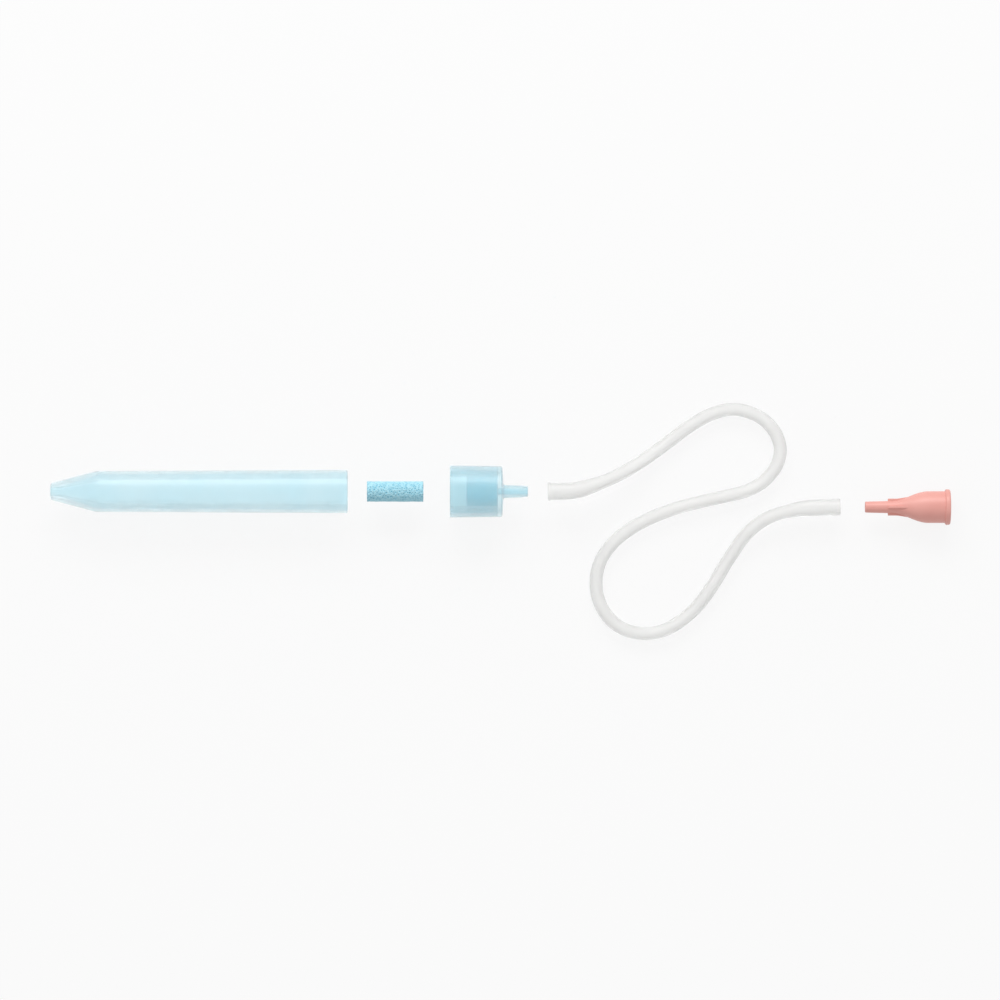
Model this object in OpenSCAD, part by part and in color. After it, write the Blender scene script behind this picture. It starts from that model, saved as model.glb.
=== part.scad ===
// Nasal aspirator: a nozzled tube, a foam filter, a cap with a filter sleeve and
// a hose spigot, a silicone hose, and a mouthpiece that a parent sucks on.
// The pieces push together on one axis. They are drawn pulled apart, in a row on
// a table, and each pull distance says how far a piece stands from its seat.

/* [Nasal tube] */
// Length of the tube from its nozzle to its open rear rim
tube_length = 148.5; // [120:0.5:180]
// Outer diameter at the rear rim, the widest place of the tapered barrel
tube_rear_d = 21.5; // [20.8:0.1:24]
// Outer diameter where the nozzle cone meets the barrel
tube_front_d = 20.4; // [18:0.1:21.4]
// Wall of the barrel
tube_wall = 1.5; // [1:0.1:2]
// Length of the nozzle cone
cone_length = 23; // [16:0.5:32]
// Diameter of the hole in the nozzle
nozzle_bore = 4.8; // [3.6:0.1:6]
// Length over which that hole is straight
nozzle_land = 4; // [2:0.5:6]
// Wall round the hole at the front face, before its edge is rounded
nose_wall = 1.75; // [1.6:0.05:2.4]
// Depth of the wider lead-in bore at the rear rim
lead_in_depth = 9; // [5:0.5:14]
// How much wider than the barrel's bore the lead-in is
lead_in_step = 0.7; // [0.3:0.1:1]

/* [Filter] */
// Diameter of the foam filter
filter_d = 10.5; // [9:0.1:11.5]
// Length of the foam filter
filter_length = 28.3; // [24:0.1:32]

/* [Cap] */
// Length of the cap without its spigot
cap_length = 26.1; // [24:0.5:32]
// Wall of the cap at its open rim
cap_wall = 2.05; // [1.5:0.05:3]
// How much the outside narrows from the rim to the closed end
cap_taper = 0.7; // [0:0.1:1.2]
// Thickness of the closed end
cap_end_wall = 2.3; // [1.6:0.1:3.5]
// How far the closed end rises from its edge to the spigot
cap_dome = 0.6; // [0:0.1:1.2]
// How much the tapered socket narrows from its mouth to its root
socket_taper = 0.8; // [0.6:0.1:1.2]
// How deep the tube's rim goes before it wedges in the socket
tube_grip = 9; // [6:0.5:12]
// Wall of the sleeve that holds the filter
sleeve_wall = 1.9; // [1.6:0.1:2.2]
// How far the sleeve's mouth lies behind the cap's rim
sleeve_recess = 8.2; // [5:0.1:12]

/* [Spigot] */
// Length of the spigot that the hose is pushed onto
spigot_length = 12.2; // [9:0.1:14]
// Diameter of the spigot at its root
spigot_root_d = 6.5; // [6:0.1:7.5]
// How much narrower the spigot is where its tip starts to taper
spigot_draft = 0.4; // [0:0.1:0.8]
// Length of the spigot's tapered tip
spigot_tip_length = 4.2; // [2:0.1:6]
// How much narrower still the spigot is at its end
spigot_tip_taper = 0.9; // [0.4:0.1:1.2]
// Diameter of the air passage through the spigot and the mouthpiece's stem
air_bore = 3.2; // [2.4:0.1:3.8]

/* [Hose] */
// Outer diameter of the hose
hose_d = 6.5; // [6:0.1:7.5]
// Wall of the hose
hose_wall = 1.1; // [0.8:0.1:1.4]
// Wall of the hose's ends, which are stretched over the spigot and the stem
hose_end_wall = 0.8; // [0.6:0.1:1.2]
// Length of each stretched end beyond what it is pushed onto
hose_end_spare = 1; // [0.5:0.5:4]
// Length over which the hose narrows behind a stretched end
hose_blend = 18; // [8:1:30]
// How far the lip at each mouth stands out
hose_lip = 0.4; // [0.2:0.1:0.8]

/* [Mouthpiece] */
// Length of the stem that goes into the hose, up to the fins
stem_length = 11.4; // [8:0.1:13]
// Diameter of the stem at the fins
stem_root_d = 6.2; // [5.8:0.1:7]
// How much narrower the stem is at its tip
stem_draft = 0.7; // [0.2:0.1:0.9]
// How far the fins that stop the hose stand out from the stem
fin_height = 1.15; // [0.8:0.05:1.6]
// Thickness of a fin
fin_t = 1.2; // [0.8:0.1:1.8]
// Length of a fin before it slopes up to the flare
fin_length = 4.8; // [3:0.1:6]
// How far the fins stand out in front of the flare
fin_lead = 1.6; // [0.5:0.1:3]
// Length of the curved flare from the stem to the bell
flare_length = 18.8; // [15:0.1:24]
// Diameter of the bell that goes between the lips
bell_d = 15.9; // [14:0.1:18]
// Length of the bell, without the lip flange
bell_length = 8.2; // [6:0.1:14]
// Wall of the bell
bell_wall = 1.6; // [1.2:0.1:2.2]
// How far the lip flange stands out from the bell
flange_height = 0.95; // [0.8:0.05:2]
// Thickness of the lip flange
flange_t = 2.6; // [2:0.1:4]

/* [Fits] */
// Gap all round between the tube's rim and the socket where it wedges
rim_fit = 0.05; // [0.03:0.01:0.1]
// Gap all round between the filter and its sleeve
filter_fit = 0.1; // [0.05:0.05:0.2]
// Gap all round between the hose's ends and what they are pushed onto
hose_fit = 0.15; // [0.1:0.05:0.2]
// Gap left where the end of one piece stops against another
stop_gap = 0.1; // [0:0.05:0.3]

/* [Pulled apart] */
// Distance from the cap's seat on the tube to where it is drawn
cap_pull = 60.3; // [50:0.1:80]
// Distance from the filter's seat in the cap to where it is drawn
filter_pull = 37; // [34:0.5:40]
// Distance from the hose's seat on the spigot to where it is drawn
hose_pull = 21.3; // [16:0.1:40]
// Distance from the mouthpiece's seat in the hose to where it is drawn
mouthpiece_pull = 23.7; // [16:0.1:40]

/* [Hidden] */
$fn = 96;
arc_steps = 5;
eps = 0.01;

// Hose route from its first mouth, seen from above
route = [
    [0, 0], [7, 0.1], [13, 0.5], [20, 2.2], [31.5, 6.5], [42, 12], [52.5, 19], [62, 26],
    [71.5, 33], [82, 38.8], [93, 41.2], [103, 39], [110.5, 34], [115.2, 27], [116.5, 19],
    [113.5, 11], [107, 4.2], [99, 0.1], [88, -2.6], [76, -5.3], [64.5, -8.3], [53, -12.6],
    [42.5, -18], [33, -25.4], [26.5, -34.6], [24.2, -44.5], [25.5, -54.5], [30.5, -63.3],
    [38.5, -69.2], [48, -71.2], [57, -70], [65.5, -65.7], [74.5, -58], [83, -46.5],
    [91, -33.3], [100, -20.8], [111, -12.8], [124.5, -9], [135.5, -8], [146.3, -7.8]
];
route_end = route[len(route) - 1];
chords_per_span = 4;
hose_sides = 12;
hose_rings = 52;
lip_length = 1.2;
// Length over which the hose comes down from a piece's axis to the table
fall = 60;
table_gap = 0.05;

// Edge radii of the mouldings
rim_edge = 0.3;
soft_edge = 0.8;
nose_edge = 1.4;
sleeve_edge = 1.4;
spigot_edge = 0.5;
spigot_fillet = 0.9;

flare_steps = 14;

// Cap, from its rim. The tube's rim fits the tapered socket at the depth of its grip.
socket_depth = cap_length - cap_end_wall;
socket_mouth_d = tube_rear_d + 2 * rim_fit + socket_taper * tube_grip / socket_depth;
socket_root_d = socket_mouth_d - socket_taper;
cap_rim_d = socket_mouth_d + 2 * cap_wall;
cap_end_d = cap_rim_d - cap_taper;
sleeve_bore = filter_d + 2 * filter_fit;
sleeve_d = sleeve_bore + 2 * sleeve_wall;
spigot_base = cap_length + cap_dome;
spigot_end = spigot_base + spigot_length;
spigot_tip_d = spigot_root_d - spigot_draft;
spigot_end_d = spigot_tip_d - spigot_tip_taper;
spigot_end_wall = (spigot_end_d - air_bore) / 2;

// Mouthpiece, from its stem's tip
stem_tip_d = stem_root_d - stem_draft;
stem_tip_wall = (stem_tip_d - air_bore) / 2;
fin_d = stem_root_d + 2 * fin_height;
flare_start = stem_length + fin_lead;
bell_start = flare_start + flare_length;
bell_bore = bell_d - 2 * bell_wall;
flange_start = bell_start + bell_length;
flange_d = bell_d + 2 * flange_height;
mouthpiece_length = flange_start + flange_t;

// Hose, which reaches as far over the spigot as over the stem
hose_bore = hose_d - 2 * hose_wall;
hose_end_length = max(spigot_length, stem_length) + hose_end_spare;
// The flats of the many-sided hose keep these sizes, so its corners lie further out
to_corner = 1 / cos(180 / hose_sides);

// Where each piece starts along the row, from the nozzle's face
cap_x = tube_length - tube_grip + cap_pull;
filter_x = cap_x + socket_depth - stop_gap - filter_length - filter_pull;
hose_x = cap_x + spigot_base + spigot_fillet + stop_gap + hose_pull;
mouthpiece_x = hose_x + route_end.x + stop_gap - stem_length + mouthpiece_pull;
row_length = mouthpiece_x + mouthpiece_length;

// The pieces' axes: the cap's rim and the mouthpiece's flange lie on the table
axis_z = cap_rim_d / 2;
mouthpiece_y = route_end.y;
mouthpiece_z = flange_d / 2;

// The origin is under the middle of all the pieces but the hose
mid_x = row_length / 2;
mid_y = (axis_z + mouthpiece_y - mouthpiece_z) / 2;

function unit(v) = v / norm(v);

// An edge radius that leaves part of a thin wall flat
function edge(radius, wall) = min(radius, 0.4 * wall);

// A half wave that rises from 0 to 1 as t does
function ease(t) = (1 - cos(180 * max(0, min(1, t)))) / 2;

// Points that round corner b of the outline a-b-c with radius r
function rounded(a, b, c, r) =
    r == 0 ? [b] :
    let (u = unit(a - b), v = unit(c - b), half = acos(u * v) / 2)
    let (centre = b + unit(u + v) * r / sin(half))
    let (from = b + u * r / tan(half) - centre)
    let (to = b + v * r / tan(half) - centre)
    let (turn = (180 - 2 * half) * sign(cross(from, to)))
    [for (i = [0 : arc_steps])
        let (t = turn * i / arc_steps)
        centre + [from.x * cos(t) - from.y * sin(t), from.x * sin(t) + from.y * cos(t)]];

// The outline through corners of the form [x, radius, rounding]
function outline(corners) =
    let (n = len(corners), flat = [for (c = corners) [c.x, c.y]])
    [for (i = [0 : n - 1])
        each rounded(flat[(i + n - 1) % n], flat[i], flat[(i + 1) % n], corners[i].z)];

// A solid of revolution about +X from corners of that form
module turned(corners)
    rotate([0, 90, 0])
        rotate_extrude()
            polygon([for (p = outline(corners)) [p.y, p.x]]);

module nasal_tube() {
    bore_front = tube_front_d - 2 * tube_wall;
    bore_rear = tube_rear_d - 2 * tube_wall;
    lead_in_d = bore_rear + lead_in_step;
    step_x = tube_length - lead_in_depth;
    color("lightcyan", 0.6)
        turned([
            [0, nozzle_bore / 2, rim_edge],
            [0, nozzle_bore / 2 + nose_wall, nose_edge],
            [cone_length, tube_front_d / 2, soft_edge],
            [tube_length, tube_rear_d / 2, rim_edge],
            [tube_length, lead_in_d / 2, rim_edge],
            [step_x, lead_in_d / 2, 0],
            [step_x - lead_in_step, bore_rear / 2, 0],
            [cone_length + tube_wall, bore_front / 2, soft_edge],
            [nozzle_land, nozzle_bore / 2, soft_edge],
        ]);
}

module filter() {
    color("skyblue")
        turned([
            [0, 0, 0],
            [0, filter_d / 2, rim_edge],
            [filter_length, filter_d / 2, rim_edge],
            [filter_length, 0, 0],
        ]);
}

// The cap from its rim: outside, spigot, air passage, sleeve and tapered socket
module cap() {
    color("powderblue", 0.7)
        turned([
            [0, socket_mouth_d / 2, soft_edge],
            [0, cap_rim_d / 2, rim_edge],
            [cap_length, cap_end_d / 2, soft_edge],
            [spigot_base, spigot_root_d / 2, spigot_fillet],
            [spigot_end - spigot_tip_length, spigot_tip_d / 2, 0],
            [spigot_end, spigot_end_d / 2, edge(spigot_edge, spigot_end_wall)],
            [spigot_end, air_bore / 2, edge(rim_edge, spigot_end_wall)],
            [socket_depth, air_bore / 2, rim_edge],
            [socket_depth, sleeve_bore / 2, 0],
            [sleeve_recess, sleeve_bore / 2, rim_edge],
            [sleeve_recess, sleeve_d / 2, min(sleeve_edge, sleeve_wall - 1.5 * rim_edge)],
            [socket_depth, sleeve_d / 2, rim_edge],
            [socket_depth, socket_root_d / 2, soft_edge],
        ]);
}

// Radius of a flare from diameter d1 to d2, at distance x from where it starts
function flare(x, d1, d2) = (d1 + (d2 - d1) * ease(x / flare_length)) / 2;

module mouthpiece() {
    steps = [for (i = [1 : flare_steps - 1]) flare_length * i / flare_steps];
    color("lightcoral") {
        // The passage opens out one wall thickness behind the outside
        turned(concat(
            [[0, air_bore / 2, edge(rim_edge, stem_tip_wall)],
             [0, stem_tip_d / 2, edge(spigot_edge, stem_tip_wall)],
             [stem_length, stem_root_d / 2, 0],
             [flare_start, stem_root_d / 2, 0]],
            [for (x = steps) [flare_start + x, flare(x, stem_root_d, bell_d), 0]],
            [[bell_start, bell_d / 2, 0],
             [flange_start, bell_d / 2, 0],
             [flange_start, flange_d / 2, soft_edge],
             [mouthpiece_length, flange_d / 2, soft_edge],
             [mouthpiece_length, bell_bore / 2, soft_edge],
             [bell_start + bell_wall, bell_bore / 2, 0]],
            [for (i = [len(steps) - 1 : -1 : 0])
                [flare_start + bell_wall + steps[i], flare(steps[i], air_bore, bell_bore), 0]],
            [[flare_start + bell_wall, air_bore / 2, 0]]
        ));
        for (side = [0 : 3])
            rotate([90 * side, 0, 0]) fin();
    }
}

// A fin along the stem's root, sunk halfway into the wall. It slopes up to the
// flare and ends inside it.
module fin() {
    sunk = (stem_root_d + air_bore) / 4;
    run_out = flare_length / 2;
    end_r = flare(run_out, stem_root_d, bell_d);
    rotate([90, 0, 0])
        translate([0, 0, -fin_t / 2])
            linear_extrude(fin_t)
                polygon([
                    [stem_length, sunk],
                    [stem_length, fin_d / 2],
                    [stem_length + fin_length, fin_d / 2],
                    [flare_start + run_out, end_r - fin_t / 4],
                    [flare_start + run_out, end_r - bell_wall / 2],
                    [flare_start + bell_wall, sunk],
                ]);
}

// A point of the smooth curve through the route, with t from 0 to its number of spans
function on_route(t) =
    let (n = len(route) - 1, i = min(floor(t), n - 1), u = t - i)
    let (b = route[i], c = route[i + 1])
    let (a = i > 0 ? route[i - 1] : 2 * b - c, d = i < n - 1 ? route[i + 2] : 2 * c - b)
    (2 * b + (c - a) * u + (2 * a - 5 * b + 4 * c - d) * u * u
        + (3 * b - a - 3 * c + d) * u * u * u) / 2;

// That curve as short chords, and how far along the hose each of its points lies
curve = [for (i = [0 : (len(route) - 1) * chords_per_span]) on_route(i / chords_per_span)];
chords = [for (i = [1 : len(curve) - 1]) norm(curve[i] - curve[i - 1])];
reached = [for (i = 0, s = 0; i <= len(chords); s = s + (i < len(chords) ? chords[i] : 0), i = i + 1) s];
hose_length = reached[len(chords)];
along_x = [for (i = [0 : len(chords)]) [reached[i], curve[i].x]];
along_y = [for (i = [0 : len(chords)]) [reached[i], curve[i].y]];

// 1 in the hose's stretched end, easing to 0 over a length behind it
function end_share(s, length) = 1 - ease((s - hose_end_length) / length);

// A value at distance s along the hose, from those at its first end, middle and last end
function along_hose(s, first, middle, last, length) =
    middle + (first - middle) * end_share(s, length)
           + (last - middle) * end_share(hose_length - s, length);

// The hose's middle line, which leaves each end level and comes down to the table
function hose_line(s) =
    let (lying = hose_d / 2 * to_corner + table_gap)
    [lookup(s, along_x), lookup(s, along_y), along_hose(s, axis_z, lying, mouthpiece_z, fall)];

// The hose's bore and outer radius
function bore_r(s) = along_hose(s, spigot_root_d / 2 + hose_fit, hose_bore / 2,
    stem_root_d / 2 + hose_fit, hose_blend);
function outer_r(s) = bore_r(s) + along_hose(s, hose_end_wall, hose_wall, hose_end_wall, hose_blend)
    + (min(s, hose_length - s) < lip_length ? hose_lip : 0);

// The corners of a many-sided ring round the middle line at distance s
function ring(s, radius) =
    let (ahead = hose_line(min(s + 0.5, hose_length)), behind = hose_line(max(s - 0.5, 0)))
    let (along = unit(ahead - behind), side = unit([-along.y, along.x, 0]), up = cross(along, side))
    [for (i = [0 : hose_sides - 1])
        let (turn = 360 * i / hose_sides)
        hose_line(s) + radius * to_corner * (side * cos(turn) + up * sin(turn))];

module hose() {
    stations = concat(
        [0, lip_length - eps, lip_length],
        [for (i = [1 : hose_rings - 1]) hose_length * i / hose_rings],
        [hose_length - lip_length, hose_length - lip_length + eps, hose_length]);
    last = len(stations) - 1;
    n = hose_sides;
    // Point number of corner k of ring r, with skin 0 outside and 1 in the bore
    function at(r, k, skin) = 2 * n * r + n * skin + k % n;
    function quad(a, b, c, d) = [[a, c, b], [a, d, c]];
    color("whitesmoke", 0.8)
        polyhedron(
            points = [for (s = stations) each concat(ring(s, outer_r(s)), ring(s, bore_r(s)))],
            faces = concat(
                [for (r = [0 : last - 1], k = [0 : n - 1]) each concat(
                    quad(at(r, k, 0), at(r, k + 1, 0), at(r + 1, k + 1, 0), at(r + 1, k, 0)),
                    quad(at(r, k, 1), at(r + 1, k, 1), at(r + 1, k + 1, 1), at(r, k + 1, 1)))],
                [for (k = [0 : n - 1]) each concat(
                    quad(at(0, k, 0), at(0, k, 1), at(0, k + 1, 1), at(0, k + 1, 0)),
                    quad(at(last, k, 0), at(last, k + 1, 0), at(last, k + 1, 1), at(last, k, 1)))]
            ));
}

// Puts a piece in the row: x from the nozzle's face, y from the tube's axis
module place(x, y, z)
    translate([x - mid_x, y - mid_y, z])
        children();

place(0, 0, axis_z) nasal_tube();
place(filter_x, 0, axis_z) filter();
place(cap_x, 0, axis_z) cap();
place(hose_x, 0, 0) hose();
place(mouthpiece_x, mouthpiece_y, mouthpiece_z) mouthpiece();
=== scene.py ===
import bisect
import math

import bmesh
import bpy
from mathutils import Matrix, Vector


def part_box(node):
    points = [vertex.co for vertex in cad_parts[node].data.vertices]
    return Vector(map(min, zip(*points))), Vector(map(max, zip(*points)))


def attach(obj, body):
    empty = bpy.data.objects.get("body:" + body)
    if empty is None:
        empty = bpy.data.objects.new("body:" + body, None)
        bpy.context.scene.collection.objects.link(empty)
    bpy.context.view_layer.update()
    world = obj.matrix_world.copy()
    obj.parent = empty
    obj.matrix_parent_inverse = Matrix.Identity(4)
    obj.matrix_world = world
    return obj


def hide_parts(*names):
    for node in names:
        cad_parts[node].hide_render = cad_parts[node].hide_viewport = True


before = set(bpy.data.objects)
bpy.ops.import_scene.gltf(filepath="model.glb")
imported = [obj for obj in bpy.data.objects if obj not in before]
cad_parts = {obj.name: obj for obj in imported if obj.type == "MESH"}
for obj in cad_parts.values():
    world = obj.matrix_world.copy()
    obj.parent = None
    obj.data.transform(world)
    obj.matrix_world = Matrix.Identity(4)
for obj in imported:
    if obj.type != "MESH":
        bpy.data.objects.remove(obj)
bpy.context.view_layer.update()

scene = bpy.context.scene
mm = 0.001


def middleOf(node):
    # where a piece starts along the row, and where its axis runs
    low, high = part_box(node)
    return low[0], (low[1] + high[1]) / 2, (low[2] + high[2]) / 2


tubeX, axisY, axisZ = middleOf("nasal_tube")


def linearColour(code):
    # sRGB hex to the linear values that nodes take
    parts = [int(code[i:i + 2], 16) / 255 for i in (1, 3, 5)]
    return [p / 12.92 if p <= 0.04045 else ((p + 0.055) / 1.055) ** 2.4 for p in parts] + [1]


def addNode(tree, kind, inputs=None, **settings):
    # an input is a plain value, or the output socket that feeds it
    node = tree.nodes.new(kind)
    for name, value in settings.items():
        setattr(node, name, value)
    for key, value in (inputs or {}).items():
        if isinstance(value, bpy.types.NodeSocket):
            tree.links.new(value, node.inputs[key])
        else:
            node.inputs[key].default_value = value
    return node


def reckon(tree, operation, first, second, **settings):
    return addNode(tree, "ShaderNodeMath", {0: first, 1: second},
                   operation=operation, **settings).outputs[0]


def newMaterial(name):
    material = bpy.data.materials.new(name)
    material.use_nodes = True
    material.node_tree.nodes.clear()
    return material, material.node_tree


def linkObject(name, data):
    made = bpy.data.objects.new(name, data)
    scene.collection.objects.link(made)
    return made


# Camera straight above the row, with a lens long enough to look down on every piece alike
viewing = {
    "lens": 240,
    "frameWidth": 500 * mm,          # taken in at the height of the tube's axis
    "aimFromTip": 224.75 * mm,       # where it looks, from the nozzle's face
    "aimBelowAxis": 4.25 * mm,
}

cameraData = bpy.data.cameras.new("camera")
cameraData.lens = viewing["lens"]
camera = linkObject("camera", cameraData)
camera.location = (
    tubeX + viewing["aimFromTip"],
    axisY - viewing["aimBelowAxis"],
    axisZ + viewing["frameWidth"] * cameraData.lens / cameraData.sensor_width,
)
scene.camera = camera

# One broad soft lamp from the far side, and a pale world that fills the rest
lighting = {
    "world": 0.65,
    "keySize": (1.6, 0.7),
    "keyPlace": Vector((-0.1, 1.35, 0.95)),
    "keyPower": 18,
}

keyData = bpy.data.lights.new("keyLamp", "AREA")
keyData.shape = "RECTANGLE"
keyData.size, keyData.size_y = lighting["keySize"]
keyData.energy = lighting["keyPower"]
key = linkObject("keyLamp", keyData)
key.location = lighting["keyPlace"]
key.rotation_euler = (-lighting["keyPlace"]).to_track_quat("-Z", "Y").to_euler()


def seenItself(tree):
    # 1 for the rays that show the background, 0 for those that only carry light
    path = addNode(tree, "ShaderNodeLightPath")
    shown = path.outputs["Is Camera Ray"]
    for name in ("Is Glossy Ray", "Is Transmission Ray"):
        shown = reckon(tree, "ADD", shown, path.outputs[name], use_clamp=True)
    return shown


world = bpy.data.worlds.new("paleRoom")
world.use_nodes = True
world.node_tree.nodes.clear()
level = addNode(world.node_tree, "ShaderNodeMapRange",
                {"Value": seenItself(world.node_tree), "To Min": lighting["world"], "To Max": 1})
sky = addNode(world.node_tree, "ShaderNodeBackground",
              {"Color": (1, 1, 1, 1), "Strength": level.outputs[0]})
addNode(world.node_tree, "ShaderNodeOutputWorld", {"Surface": sky.outputs[0]})
scene.world = world
scene.view_settings.view_transform = "Standard"
print("camera and lamps")

# The table is plain, pale and a little lit from within, so that shadows on it stay faint
table = {
    "halfSize": 6.0,
    "colour": "#E4E4E4",
    "glow": 0.86,
}


def makeTable():
    side = table["halfSize"]
    mesh = bpy.data.meshes.new("table")
    corners = [(-side, -side, 0), (side, -side, 0), (side, side, 0), (-side, side, 0)]
    mesh.from_pydata(corners, [], [(0, 1, 2, 3)])
    top = linkObject("table", mesh)
    material, tree = newMaterial("paleLaminate")
    matt = addNode(tree, "ShaderNodeBsdfDiffuse", {"Color": linearColour(table["colour"])})
    glow = addNode(tree, "ShaderNodeEmission", {"Color": (1, 1, 1, 1), "Strength": 1})
    share = reckon(tree, "MULTIPLY", seenItself(tree), table["glow"])
    both = addNode(tree, "ShaderNodeMixShader", {
        0: share, 1: matt.outputs[0], 2: glow.outputs[0]})
    addNode(tree, "ShaderNodeOutputMaterial", {"Surface": both.outputs[0]})
    mesh.materials.append(material)


makeTable()
print("table")


def ease(t):
    # half a wave, from 0 to 1
    return (1 - math.cos(math.pi * max(0, min(1, t)))) / 2


hose = {
    # seen from above, in mm from the first mouth
    "route": [
        (0, 0), (7, 0.1), (13, 0.5), (20, 2.2), (31.5, 6.5), (42, 12), (52.5, 19), (62, 26),
        (71.5, 33), (82, 38.8), (93, 41.2), (103, 39), (110.5, 34), (115.2, 27), (116.5, 19),
        (113.5, 11), (107, 4.2), (99, 0.1), (88, -2.6), (76, -5.3), (64.5, -8.3), (53, -12.6),
        (42.5, -18), (33, -25.4), (26.5, -34.6), (24.2, -44.5), (25.5, -54.5), (30.5, -63.3),
        (38.5, -69.2), (48, -71.2), (57, -70), (65.5, -65.7), (74.5, -58), (83, -46.5),
        (91, -33.3), (100, -20.8), (111, -12.8), (124.5, -9), (135.5, -8), (146.3, -7.8),
    ],
    "chordsPerSpan": 16,
    "diameter": 6.5,
    "wall": 1.1,
    "endWall": 0.8,
    "firstBore": 6.8,                # stretched over the spigot
    "lastBore": 6.5,                 # and over the stem
    "endLength": 13.2,
    "blend": 18.0,                   # length over which it narrows behind an end
    "fall": 60.0,                    # length over which it comes down to the table
    "lying": 3.41,                   # height of its middle line on the table
    "lipRise": 0.4,
    "lipLength": 1.2,
    "lipHold": 0.6,                  # share of that length before it falls away
    "cuffRise": 0.15,                # the last mouth has a low broad cuff instead
    "cuffLength": 4.2,
    "cuffEase": 0.5,
    "edge": 0.2,                     # rounding of each mouth's rim
    "edgeHold": 0.5,
    "sightLength": 0.5,              # how far to each side a ring takes its direction from
    "sides": 40,
    "ringStep": 1.0,
}
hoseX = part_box("hose")[0][0]
mouthpieceZ = middleOf("mouthpiece")[2]


def smoothRoute():
    # the curve through the route's points, as short chords
    points = [Vector(p) for p in hose["route"]]
    points = [2 * points[0] - points[1]] + points + [2 * points[-1] - points[-2]]
    curve = []
    for a, b, c, d in zip(points, points[1:], points[2:], points[3:]):
        for step in range(hose["chordsPerSpan"]):
            u = step / hose["chordsPerSpan"]
            curve.append((2 * b + (c - a) * u + (2 * a - 5 * b + 4 * c - d) * u * u
                          + (3 * b - a - 3 * c + d) * u ** 3) / 2)
    return curve + [points[-2]]


hoseCurve = smoothRoute()
hoseReach = [0]
for before, after in zip(hoseCurve, hoseCurve[1:]):
    hoseReach.append(hoseReach[-1] + (after - before).length)
hoseLength = hoseReach[-1]


def alongHose(s, first, middle, last, length):
    # a value that is one thing at each stretched end and another between them
    firstShare = 1 - ease((s - hose["endLength"]) / length)
    lastShare = 1 - ease((hoseLength - s - hose["endLength"]) / length)
    return middle + (first - middle) * firstShare + (last - middle) * lastShare


def hosePoint(s):
    s = max(0, min(hoseLength, s))
    i = min(bisect.bisect_right(hoseReach, s) - 1, len(hoseCurve) - 2)
    flat = hoseCurve[i].lerp(hoseCurve[i + 1], (s - hoseReach[i]) / (hoseReach[i + 1] - hoseReach[i]))
    height = alongHose(s, axisZ / mm, hose["lying"], mouthpieceZ / mm, hose["fall"])
    return Vector((hoseX + flat.x * mm, axisY + flat.y * mm, height * mm))


def boreRadius(s):
    plain = hose["diameter"] - 2 * hose["wall"]
    return alongHose(s, hose["firstBore"], plain, hose["lastBore"], hose["blend"]) / 2


def outerRadius(s):
    wall = alongHose(s, hose["endWall"], hose["wall"], hose["endWall"], hose["blend"])
    lipStart = hose["lipHold"] * hose["lipLength"]
    lip = hose["lipRise"] * (1 - ease((s - lipStart) / hose["lipLength"]))
    cuffGap = hoseLength - s - hose["cuffLength"]
    cuff = hose["cuffRise"] * (1 - ease(cuffGap / hose["cuffEase"]))
    return boreRadius(s) + wall + lip + cuff


def hoseRing(s, radius):
    ahead = hosePoint(s + hose["sightLength"])
    behind = hosePoint(s - hose["sightLength"])
    forward = (ahead - behind).normalized()
    side = Vector((-forward.y, forward.x, 0)).normalized()
    up = forward.cross(side)
    turns = [2 * math.pi * i / hose["sides"] for i in range(hose["sides"])]
    return [hosePoint(s) + radius * mm * (side * math.cos(t) + up * math.sin(t)) for t in turns]


def closedShell(name, rings):
    # rings of points, each joined to the next and the last to the first
    size, count = len(rings[0]), len(rings)
    faces = []
    for r in range(count):
        low, high = r * size, (r + 1) % count * size
        for i in range(size):
            j = (i + 1) % size
            faces.append((low + i, low + j, high + j, high + i))
    mesh = bpy.data.meshes.new(name)
    mesh.from_pydata([p for ring in rings for p in ring], [], faces)
    mesh.shade_smooth()
    return linkObject(name, mesh)


def makeHose():
    # out along the outside, round the last mouth's edge, and back along the bore
    count = round(hoseLength / hose["ringStep"])
    edge = hose["edge"]
    rim = [0, edge, hose["edgeHold"]]
    stations = rim + [hoseLength * i / count for i in range(1, count)]
    stations += [hoseLength - s for s in reversed(rim)]

    def skin(s, radius, inwards):
        end = min(s, hoseLength - s)
        rounding = edge - math.sqrt(max(0, edge ** 2 - max(0, edge - end) ** 2))
        return hoseRing(s, radius + inwards * rounding)

    outside = [skin(s, outerRadius(s), -1) for s in stations]
    inside = [skin(s, boreRadius(s), 1) for s in reversed(stations)]
    return closedShell("siliconeHose", outside + inside)


siliconeHose = makeHose()
print("hose", round(hoseLength, 1), "mm")


def cornerArc(a, b, c, radius, steps=7):
    # points that round the corner at b, on the way from a to c
    if radius == 0:
        return [b]
    u, v = (a - b).normalized(), (c - b).normalized()
    half = u.angle(v) / 2
    centre = b + (u + v).normalized() * radius / math.sin(half)
    start = b + u * radius / math.tan(half) - centre
    sweep = math.pi - 2 * half
    turn = sweep if start.x * (b - centre).y - start.y * (b - centre).x > 0 else -sweep
    arc = []
    for i in range(steps + 1):
        t = turn * i / steps
        arc.append(centre + Vector((start.x * math.cos(t) - start.y * math.sin(t),
                                    start.x * math.sin(t) + start.y * math.cos(t))))
    return arc


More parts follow.
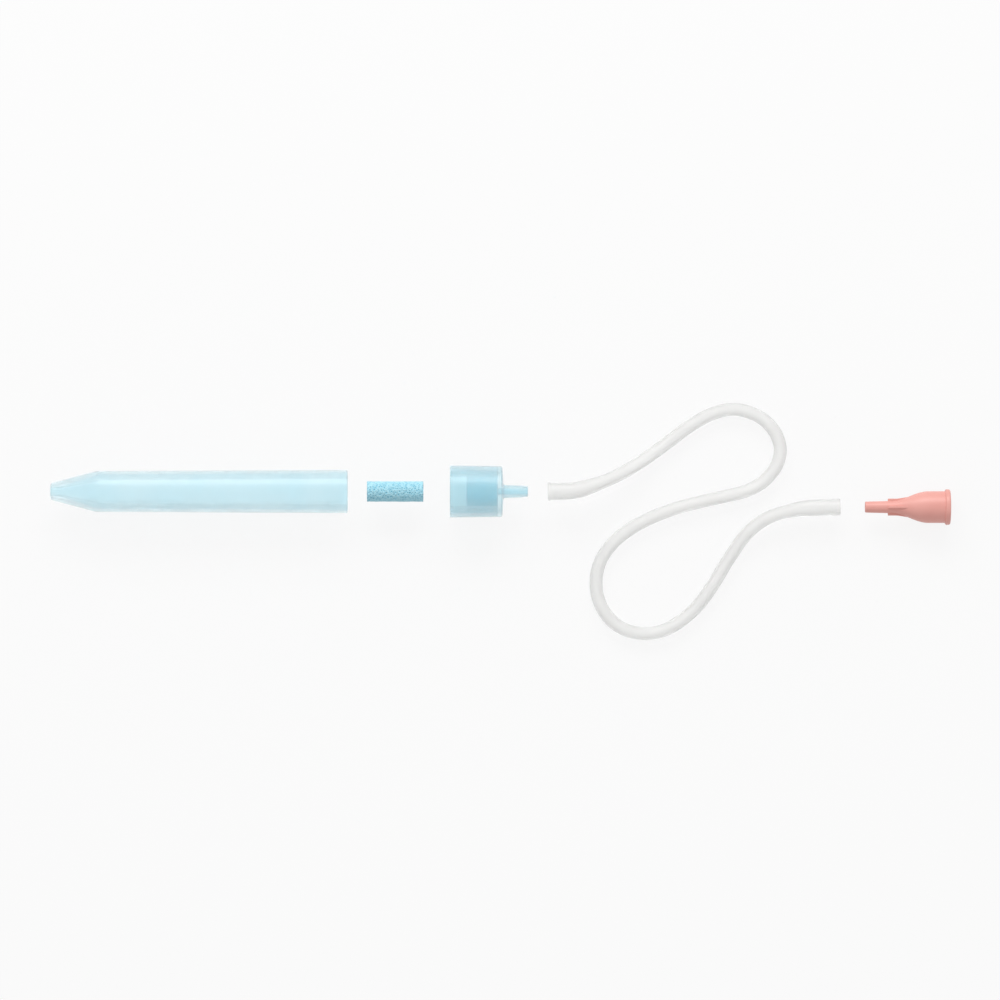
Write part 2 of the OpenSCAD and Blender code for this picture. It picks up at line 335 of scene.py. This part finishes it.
def turnedPiece(name, corners, place, segments=144, span=1.5, hold=0.12):
    # corners are (distance along the axis, radius, rounding) in mm, round the whole section
    flat = [Vector(c[:2]) for c in corners]
    outline = []
    for i, corner in enumerate(corners):
        outline += cornerArc(flat[i - 1], flat[i], flat[(i + 1) % len(flat)], corner[2])
    section = []
    for p, q in zip(outline, outline[1:] + outline[:1]):
        # points close behind a corner keep the flats beside it evenly shaded
        length = (q - p).length
        pieces = max(1, math.ceil(length / span))
        stops = [i / pieces for i in range(pieces)]
        if length > 4 * hold:
            stops += [hold / length, 1 - hold / length]
        section += [p.lerp(q, t) for t in sorted(stops)]
    x, y, z = place
    rings = []
    for p in section:
        turns = [2 * math.pi * i / segments for i in range(segments)]
        rings.append([(x + p.x * mm, y + p.y * mm * math.cos(t), z + p.y * mm * math.sin(t))
                      for t in turns])
    return closedShell(name, rings)


nasalTube = {
    "length": 148.5,
    "rearDiameter": 21.5,
    "frontDiameter": 20.4,
    "wall": 1.5,
    "coneLength": 23.0,
    "nozzleBore": 4.8,
    "nozzleLand": 4.0,
    "noseWall": 1.75,
    "leadInDepth": 9.0,
    "leadInStep": 0.7,
}


def makeNasalTube():
    t = nasalTube
    hole, front, rear = t["nozzleBore"] / 2, t["frontDiameter"] / 2, t["rearDiameter"] / 2
    step = t["length"] - t["leadInDepth"]
    leadIn = rear - t["wall"] + t["leadInStep"] / 2
    return turnedPiece("nasalTubeMoulding", [
        (0, hole, 0.3),
        (0, hole + t["noseWall"], 1.4),
        (t["coneLength"], front, 0.5),
        (t["length"], rear, 0.3),
        (t["length"], leadIn, 0.3),
        (step, leadIn, 0.2),
        (step - t["leadInStep"], rear - t["wall"], 0.2),
        (t["coneLength"] + t["wall"], front - t["wall"], 0.8),
        (t["nozzleLand"], hole, 0.8),
    ], (tubeX, axisY, axisZ))


cap = {
    "length": 26.1,
    "socketMouth": 21.9,
    "socketTaper": 0.8,
    "wall": 2.05,
    "taper": 0.7,
    "endWall": 2.3,
    "dome": 0.6,
    "sleeveBore": 10.7,
    "sleeveWall": 1.9,
    "sleeveRecess": 8.2,
    "spigotLength": 12.2,
    "spigotRoot": 6.5,
    "spigotDraft": 0.4,
    "spigotTipLength": 4.2,
    "spigotTipTaper": 0.9,
    "airBore": 3.2,
}


def makeCap():
    c = cap
    mouth, rim = c["socketMouth"] / 2, c["socketMouth"] / 2 + c["wall"]
    floor, root = c["length"] - c["endWall"], c["length"] + c["dome"]
    spigot = c["spigotRoot"] / 2
    tip = spigot - c["spigotDraft"] / 2
    sleeve, bore = c["sleeveBore"] / 2, c["airBore"] / 2
    return turnedPiece("capMoulding", [
        (0, mouth, 0.8),
        (0, rim, 0.3),
        (c["length"], rim - c["taper"] / 2, 0.9),
        (root, spigot, 0.9),
        (root + c["spigotLength"] - c["spigotTipLength"], tip, 0.8),
        (root + c["spigotLength"], tip - c["spigotTipTaper"] / 2, 0.4),
        (root + c["spigotLength"], bore, 0.3),
        (floor, bore, 0.3),
        (floor, sleeve, 0.2),
        (c["sleeveRecess"], sleeve, 0.3),
        (c["sleeveRecess"], sleeve + c["sleeveWall"], 1.4),
        (floor, sleeve + c["sleeveWall"], 0.3),
        (floor, mouth - c["socketTaper"] / 2, 0.8),
    ], middleOf("cap"), segments=160, span=1.0)


mouthpiece = {
    "stemLength": 11.4,
    "stemRoot": 6.2,
    "stemDraft": 0.7,
    "airBore": 3.2,
    "finHeight": 1.15,
    "finThickness": 1.2,
    "finLength": 4.8,
    "finLead": 1.6,
    "finCount": 4,
    "finEdge": 0.18,
    "finRunOut": 4.6,                # length over which it comes down on the flare
    "finRoot": 0.75,                 # depth to which it stands in the stem
    "finTailTop": 0.3,               # depths of its tail in the flare
    "finTailFoot": 0.8,
    "flareLength": 18.8,
    "flareSteps": 30,
    "bell": 15.9,
    "bellLength": 8.2,
    "bellWall": 1.6,
    "flangeHeight": 0.95,
    "flangeThickness": 2.6,
}


def makeMouthpiece():
    m = mouthpiece
    stem, bell, air = m["stemRoot"] / 2, m["bell"] / 2, m["airBore"] / 2
    inner = bell - m["bellWall"]
    flare = m["stemLength"] + m["finLead"]
    wide = flare + m["flareLength"]
    flange = wide + m["bellLength"]
    rear = flange + m["flangeThickness"]
    steps = [i / m["flareSteps"] for i in range(1, m["flareSteps"])]
    outside = [(flare + t * m["flareLength"], stem + (bell - stem) * ease(t), 0) for t in steps]
    inside = [(flare + t * m["flareLength"] + m["bellWall"], air + (inner - air) * ease(t), 0)
              for t in reversed(steps)]
    return turnedPiece("mouthpieceMoulding", [
        (0, air, 0.3), (0, stem - m["stemDraft"] / 2, 0.4), (flare, stem, 0), *outside,
        (wide, bell, 0), (flange, bell, 0.12), (flange, bell + m["flangeHeight"], 0.7),
        (rear, bell + m["flangeHeight"], 0.9), (rear, inner, 0.8),
        (wide + m["bellWall"], inner, 0), *inside, (flare + m["bellWall"], air, 0),
    ], middleOf("mouthpiece"), span=1.0)


nasalTubePiece = makeNasalTube()
capPiece = makeCap()
mouthpiecePiece = makeMouthpiece()
print("turned mouldings")


def sizedTree(name, sizes):
    # a geometry tree with a named input for each size that it works from
    tree = bpy.data.node_groups.new(name, "GeometryNodeTree")
    tree.interface.new_socket("Geometry", in_out="INPUT", socket_type="NodeSocketGeometry")
    tree.interface.new_socket("Geometry", in_out="OUTPUT", socket_type="NodeSocketGeometry")
    kinds = {int: "NodeSocketInt", float: "NodeSocketFloat", Vector: "NodeSocketVector"}
    for size, value in sizes.items():
        kind = kinds.get(type(value), "NodeSocketMaterial")
        tree.interface.new_socket(size, in_out="INPUT", socket_type=kind)
    return tree, addNode(tree, "NodeGroupInput").outputs


def grow(piece, tree, sizes):
    # runs the tree on the piece once, and keeps what it makes as a plain mesh
    modifier = piece.modifiers.new(tree.name, "NODES")
    modifier.node_group = tree
    for item in tree.interface.items_tree:
        if item.in_out == "INPUT" and item.name in sizes:
            modifier[item.identifier] = sizes[item.name]
    ready = piece.evaluated_get(bpy.context.evaluated_depsgraph_get())
    grown = bpy.data.meshes.new_from_object(ready)
    piece.modifiers.remove(modifier)
    piece.data = grown
    return piece


def noiseOn(tree, where, size, detail=2.0):
    # noise whose patches are about so many mm across, from 0 to 1
    return addNode(tree, "ShaderNodeTexNoise", {
        "Vector": where, "Scale": 0.5 / (size * mm), "Detail": detail}).outputs["Fac"]


def blendColours(tree, share, first, second):
    # inputs 6 and 7 and output 2 are the node's colours, as against its plain numbers
    return addNode(tree, "ShaderNodeMix", {
        "Factor": share, 6: linearColour(first), 7: linearColour(second)},
        data_type="RGBA").outputs[2]


def ranged(tree, value, low, high):
    # noise seldom leaves the middle of its range, so only that part is spread out
    return addNode(tree, "ShaderNodeMapRange", {
        "Value": value, "From Min": 0.3, "From Max": 0.7,
        "To Min": low, "To Max": high}).outputs["Result"]


def mouldedPlastic(name, finish):
    # A skin as the steel mould left it: cloudy colour in patches and a very fine, even grain
    material, tree = newMaterial(name)
    where = addNode(tree, "ShaderNodeTexCoord").outputs["Object"]
    clouds = noiseOn(tree, where, finish["cloudSize"])
    grain = noiseOn(tree, where, finish["grainSize"], detail=3.0)
    bump = addNode(tree, "ShaderNodeBump", {
        "Height": grain, "Strength": finish["grainStrength"], "Distance": finish["grainDepth"] * mm})
    skin = addNode(tree, "ShaderNodeBsdfPrincipled", {
        "Base Color": blendColours(tree, ranged(tree, clouds, 0, 1), finish["colour"], finish["cloud"]),
        "Roughness": finish["roughness"],
        "IOR": finish["ior"],
        "Transmission Weight": finish["clearness"],
        "Alpha": 1 - finish["thinness"],
        "Normal": bump.outputs[0],
    })
    addNode(tree, "ShaderNodeOutputMaterial", {"Surface": skin.outputs[0]})
    return material


# Polypropylene is cloudy by nature, so light goes through a wall but its far side looks soft.
# The mould's grain is really about 0.05 mm; here it is 0.3 mm, so that it shows at all.
clearBlue = mouldedPlastic("mouldedPolypropylene", {
    "colour": "#DCF8FF",
    "cloud": "#D0F4FE",
    "cloudSize": 14.0,
    "grainSize": 0.3,
    "grainStrength": 0.25,
    "grainDepth": 0.02,
    "roughness": 0.22,
    "ior": 1.49,
    "clearness": 0.7,
    "thinness": 0.5,
})
nasalTubePiece.data.materials.append(clearBlue)

# The cap is the same plastic with more dye and a thicker wall, so less comes through it
deepBlue = mouldedPlastic("dyedPolypropylene", {
    "colour": "#D0F2FB",
    "cloud": "#C6EEF9",
    "cloudSize": 7.0,
    "grainSize": 0.3,
    "grainStrength": 0.25,
    "grainDepth": 0.02,
    "roughness": 0.25,
    "ior": 1.49,
    "clearness": 0.65,
    "thinness": 0.42,
})
capPiece.data.materials.append(deepBlue)

# Liquid silicone rubber: milky, with a soft skin that never shines hard
milkySilicone = mouldedPlastic("extrudedSilicone", {
    "colour": "#FCFCFB",
    "cloud": "#F9F9F8",
    "cloudSize": 9.0,
    "grainSize": 0.5,
    "grainStrength": 0.2,
    "grainDepth": 0.03,
    "roughness": 0.38,
    "ior": 1.43,
    "clearness": 0.6,
    "thinness": 0.4,
})
siliconeHose.data.materials.append(milkySilicone)

# The mouthpiece is an opaque dyed plastic with a satin skin
salmonPlastic = mouldedPlastic("satinPolypropylene", {
    "colour": "#E7A69C",
    "cloud": "#E29E94",
    "cloudSize": 6.0,
    "grainSize": 0.3,
    "grainStrength": 0.3,
    "grainDepth": 0.03,
    "roughness": 0.4,
    "ior": 1.49,
    "clearness": 0.0,
    "thinness": 0.0,
})
mouthpiecePiece.data.materials.append(salmonPlastic)


def makeFins():
    # one fin stands up from the stem and runs out on the flare; the tree sets the rest round it
    m = mouthpiece
    front = m["stemLength"]
    stem, rise = m["stemRoot"] / 2, m["finHeight"]
    foot = stem - m["finRoot"]
    reach = m["finLength"] + m["finLead"] + m["finRunOut"]
    along = (reach - m["finLead"]) / m["flareLength"]
    surface = stem + (m["bell"] / 2 - stem) * ease(along)
    profile = [
        (front, foot),
        (front, stem + rise),
        (front + m["finLength"], stem + rise),
        (front + reach, surface - m["finTailTop"]),
        (front + reach, surface - m["finTailFoot"]),
        (front + m["finLead"] * 2, foot),
    ]
    half = m["finThickness"] / 2
    build = bmesh.new()
    sides = [[build.verts.new((px * mm, side * mm, pr * mm)) for px, pr in profile]
             for side in (-half, half)]
    count = len(profile)
    build.faces.new(sides[0])
    build.faces.new(list(reversed(sides[1])))
    for i in range(count):
        j = (i + 1) % count
        build.faces.new((sides[0][j], sides[0][i], sides[1][i], sides[1][j]))
    bmesh.ops.recalc_face_normals(build, faces=build.faces)
    bmesh.ops.bevel(build, geom=build.edges[:], offset=m["finEdge"] * mm, segments=3,
                    profile=0.5, affect="EDGES")
    mesh = bpy.data.meshes.new("mouthpieceFins")
    build.to_mesh(mesh)
    build.free()
    fins = linkObject("mouthpieceFins", mesh)
    sizes = {"Fins": m["finCount"], "Axis": Vector(middleOf("mouthpiece")), "Skin": salmonPlastic}
    tree, given = sizedTree("finsRoundStem", sizes)
    row = addNode(tree, "GeometryNodeMeshLine", {
        "Count": given["Fins"], "Start Location": given["Axis"], "Offset": (0, 0, 0)})
    step = reckon(tree, "DIVIDE", 2 * math.pi, given["Fins"])
    number = addNode(tree, "GeometryNodeInputIndex").outputs[0]
    turn = reckon(tree, "MULTIPLY", step, number)
    spin = addNode(tree, "ShaderNodeCombineXYZ", {"X": turn})
    copies = addNode(tree, "GeometryNodeInstanceOnPoints", {
        "Points": row.outputs["Mesh"], "Instance": given["Geometry"], "Rotation": spin.outputs[0]})
    real = addNode(tree, "GeometryNodeRealizeInstances", {"Geometry": copies.outputs[0]})
    smooth = addNode(tree, "GeometryNodeSetShadeSmooth", {"Geometry": real.outputs[0]})
    skin = addNode(tree, "GeometryNodeSetMaterial", {
        "Geometry": smooth.outputs[0], "Material": given["Skin"]})
    addNode(tree, "NodeGroupOutput", {0: skin.outputs[0]})
    return grow(fins, tree, sizes)


finsPiece = makeFins()
print("mouthpiece fins")

filterFoam = {
    "Diameter": 10.5 * mm,
    "Length": 28.3 * mm,
    "Cell": 1.0 * mm,                # from one large pore to the next
    "Depth": 0.42 * mm,
    "Fine cell": 0.5 * mm,
    "Fine depth": 0.14 * mm,
    "Raggedness": 0.3 * mm,          # how unevenly the block was cut
    "Seed": 4.0,
    "Sides": 250,
    "Rows": 250,
    "Rings": 20,
}

foamFinish = {
    "strut": "#B6E4F1",
    # the darker colour for the pits is painted shade, not a colour of the foam itself
    "shadedPore": "#8ECBDE",
    "speckleSize": 0.35,
    "speckle": 0.15,
    "roughness": 0.95,
    "shine": 0.2,
}

foamSurface = {
    "strutEdge": 0.03,               # where a pit starts and ends, as a share of its cell
    "pitFloor": 0.26,
    "patchSize": 1.1 * mm,           # of the block's uneven cut
}


def makeFoamMaterial():
    # Open-cell polyurethane foam: no gloss at all, bright struts, and a darker colour painted into the
    # large pits as painted shade
    material, tree = newMaterial("openCellFoam")
    where = addNode(tree, "ShaderNodeTexCoord").outputs["Object"]
    # the stored mask of the large pits says where the painted shade goes
    shadedPore = addNode(tree, "ShaderNodeAttribute", attribute_name="shadedPore").outputs["Fac"]
    patches = noiseOn(tree, where, foamFinish["speckleSize"])
    speckle = ranged(tree, patches, -foamFinish["speckle"], foamFinish["speckle"])
    share = reckon(tree, "ADD", shadedPore, speckle, use_clamp=True)
    skin = addNode(tree, "ShaderNodeBsdfPrincipled", {
        "Base Color": blendColours(tree, share, foamFinish["strut"], foamFinish["shadedPore"]),
        "Roughness": foamFinish["roughness"],
        "Specular IOR Level": foamFinish["shine"],
    })
    addNode(tree, "ShaderNodeOutputMaterial", {"Surface": skin.outputs[0]})
    return material


def pits(tree, place, cell, seed):
    # 0 on the struts between cells, 1 in the middle of a cell
    cells = addNode(tree, "ShaderNodeTexVoronoi", {
        "Vector": place, "W": seed, "Scale": reckon(tree, "DIVIDE", 1.0, cell)},
        voronoi_dimensions="4D", feature="DISTANCE_TO_EDGE")
    return addNode(tree, "ShaderNodeMapRange", {
        "Value": cells.outputs["Distance"],
        "From Min": foamSurface["strutEdge"], "From Max": foamSurface["pitFloor"]},
        interpolation_type="SMOOTHSTEP").outputs["Result"]


def makeFilter():
    sizes = dict(filterFoam)
    x, y, z = middleOf("filter")
    sizes["Place"] = Vector((x + sizes["Length"] / 2, y, z))
    sizes["Foam"] = makeFoamMaterial()
    tree, given = sizedTree("cutFoam", sizes)
    radius = reckon(tree, "MULTIPLY", given["Diameter"], 0.5)
    block = addNode(tree, "GeometryNodeMeshCylinder", {
        "Vertices": given["Sides"], "Side Segments": given["Rows"], "Fill Segments": given["Rings"],
        "Radius": radius, "Depth": given["Length"]})
    laid = addNode(tree, "GeometryNodeTransform", {
        "Geometry": block.outputs["Mesh"], "Translation": given["Place"],
        "Rotation": (0, math.pi / 2, 0)})
    place = addNode(tree, "GeometryNodeInputPosition").outputs[0]
    large = pits(tree, place, given["Cell"], given["Seed"])
    fine = pits(tree, place, given["Fine cell"], given["Seed"])
    rough = addNode(tree, "ShaderNodeTexNoise", {
        "Vector": place, "W": given["Seed"], "Scale": 0.5 / foamSurface["patchSize"],
        "Detail": 2.0},
        noise_dimensions="4D").outputs["Fac"]
    depth = 0.0
    for share, most in ((large, "Depth"), (fine, "Fine depth"), (rough, "Raggedness")):
        part = reckon(tree, "MULTIPLY", share, given[most])
        depth = reckon(tree, "ADD", part, depth)
    outwards = addNode(tree, "GeometryNodeInputNormal").outputs[0]
    inwards = addNode(tree, "ShaderNodeVectorMath", {
        0: outwards, "Scale": reckon(tree, "MULTIPLY", depth, -1.0)}, operation="SCALE")
    # the large pit mask is also kept for the material, which paints shade into the pits with it
    kept = addNode(tree, "GeometryNodeStoreNamedAttribute", {
        "Geometry": laid.outputs[0], "Name": "shadedPore", "Value": large},
        data_type="FLOAT", domain="POINT")
    cut = addNode(tree, "GeometryNodeSetPosition", {
        "Geometry": kept.outputs[0], "Offset": inwards.outputs[0]})
    smooth = addNode(tree, "GeometryNodeSetShadeSmooth", {"Geometry": cut.outputs[0]})
    real = addNode(tree, "GeometryNodeRealizeInstances", {"Geometry": smooth.outputs[0]})
    foam = addNode(tree, "GeometryNodeSetMaterial", {
        "Geometry": real.outputs[0], "Material": given["Foam"]})
    addNode(tree, "NodeGroupOutput", {0: foam.outputs[0]})
    return grow(linkObject("filterFoam", bpy.data.meshes.new("filterFoam")), tree, sizes)


filterPiece = makeFilter()
print("foam filter", len(filterPiece.data.polygons), "faces")

# What each piece stands for, and what it moves with
dressed = {
    "nasal_tube": nasalTubePiece,
    "filter": filterPiece,
    "cap": capPiece,
    "hose": siliconeHose,
    "mouthpiece": mouthpiecePiece,
}
for node, piece in dressed.items():
    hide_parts(node)
    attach(piece, node)
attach(finsPiece, "mouthpiece")

hosePoint(0)
[hosePoint(hoseLength * i / 200) for i in range(201)]

print("all pieces in place")
